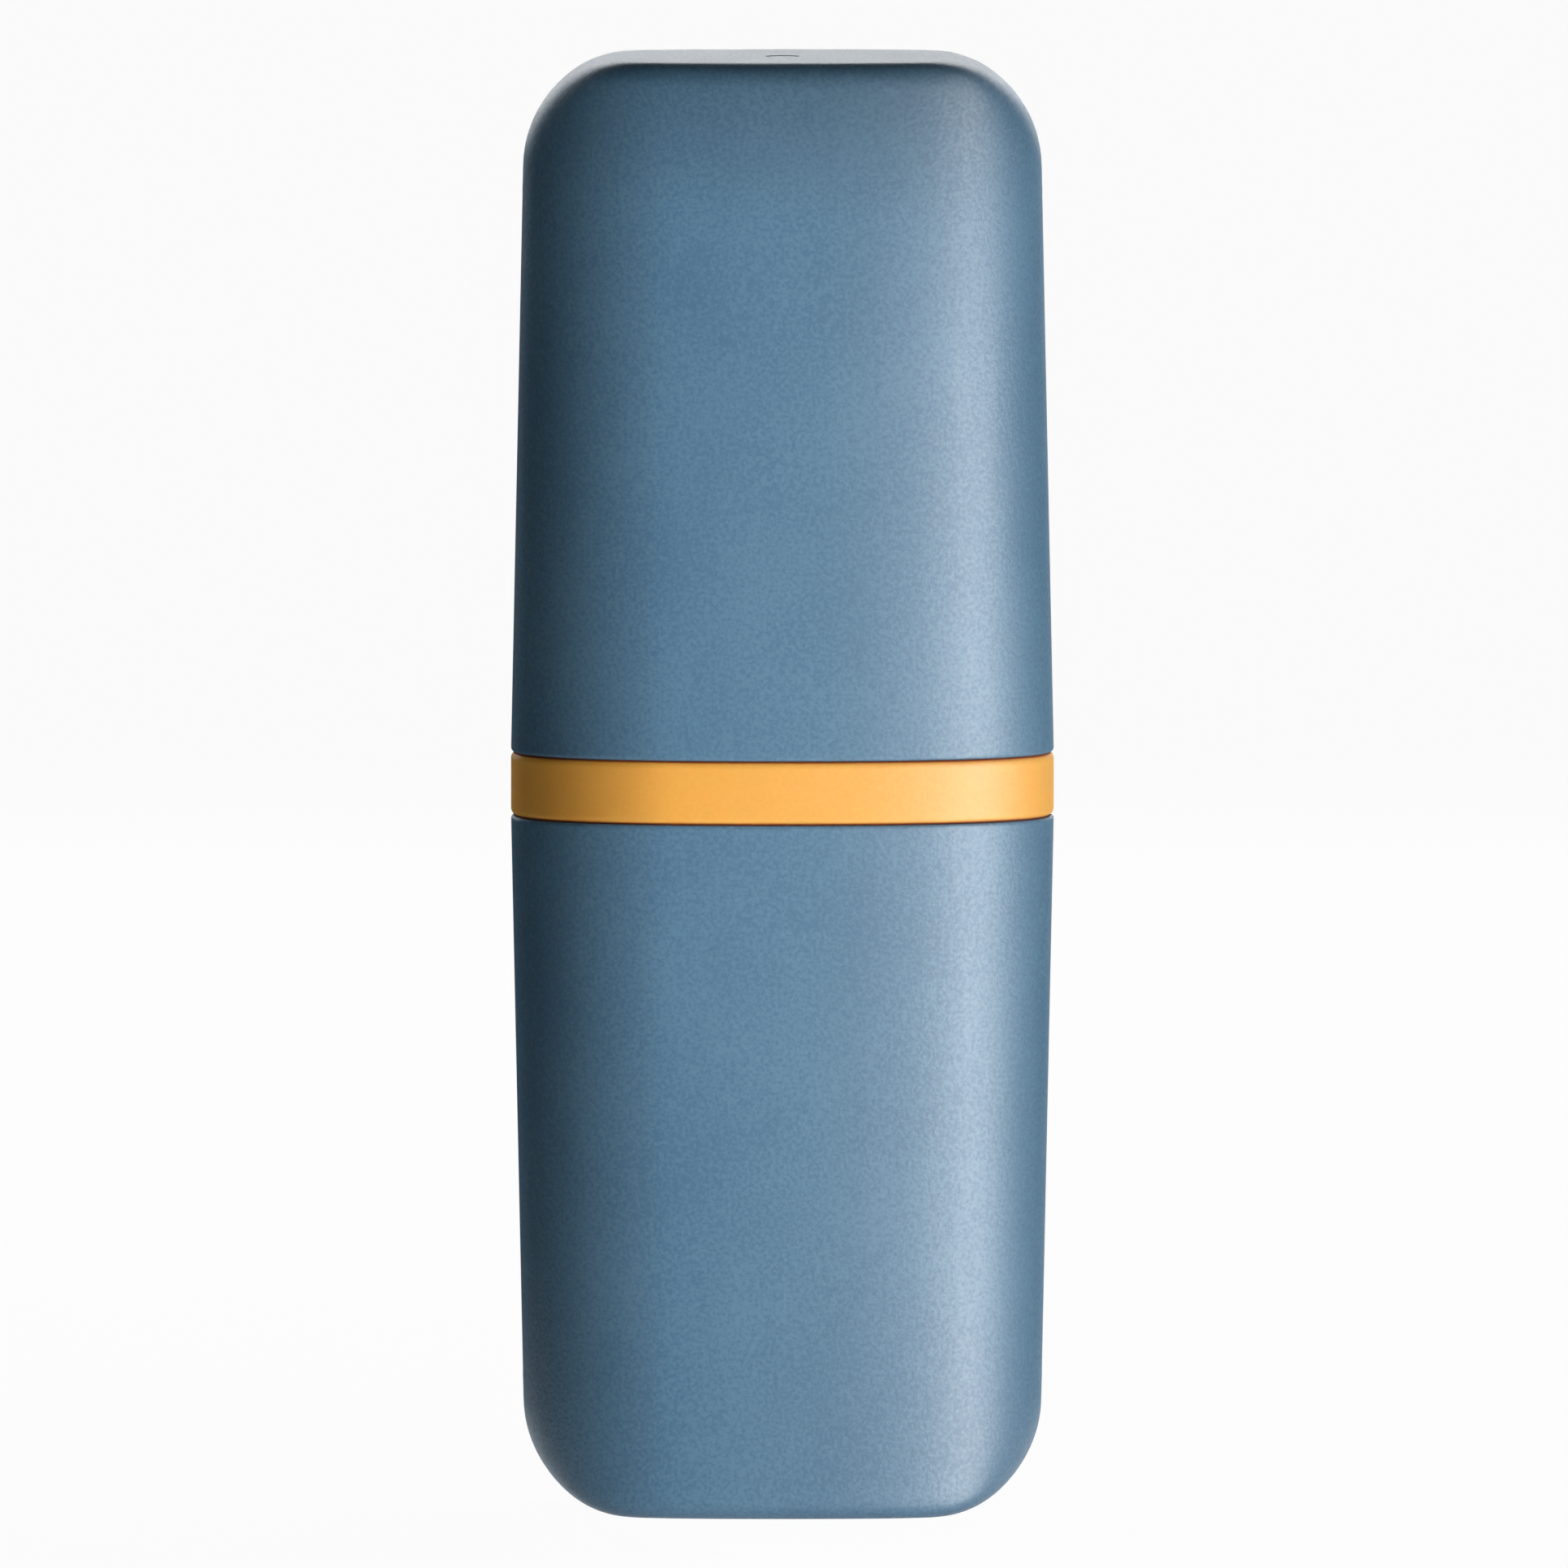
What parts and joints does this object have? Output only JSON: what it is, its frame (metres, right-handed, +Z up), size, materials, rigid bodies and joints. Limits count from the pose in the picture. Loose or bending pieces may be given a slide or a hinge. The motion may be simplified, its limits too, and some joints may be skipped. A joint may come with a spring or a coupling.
{
  "type": "toothbrush travel case",
  "caption": "Oval upright travel case for toothbrushes: tapered rinsing cups joined mouth to mouth by a push-fit coupling ring that carries a lift-out brush rack.",
  "frame": {"origin": "middle of the lower cup's flat base, on the surface that the case stands on", "axes": "+Z up along the case, +X along its wider side, -Y the front that faces the viewer"},
  "size_m": [0.078, 0.054, 0.2089],
  "materials": {
    "cup_plastic": "satin, finely grained, dusty blue",
    "ring_plastic": "satin, light orange",
    "seal_silicone": "matte, milky white",
    "rack_plastic": "satin, off-white"
  },
  "bodies": {
    "lower_cup": {"lower_cup": "cup_plastic"},
    "ring": {"coupling_ring": "ring_plastic", "lower_seal": "seal_silicone", "upper_seal": "seal_silicone"},
    "upper_cup": {"upper_cup": "cup_plastic"},
    "rack": {"brush_rack": "rack_plastic"}
  },
  "joints": [
    {"name": "ring_pull", "type": "slide", "parent": "lower_cup", "child": "ring", "axis": [0, 0, 1], "range_m": [0, 0.045]},
    {"name": "upper_cup_pull", "type": "slide", "parent": "ring", "child": "upper_cup", "axis": [0, 0, 1], "range_m": [0, 0.12]},
    {"name": "rack_lift", "type": "slide", "parent": "ring", "child": "rack", "axis": [0, 0, 1], "range_m": [0, 0.045]}
  ]
}
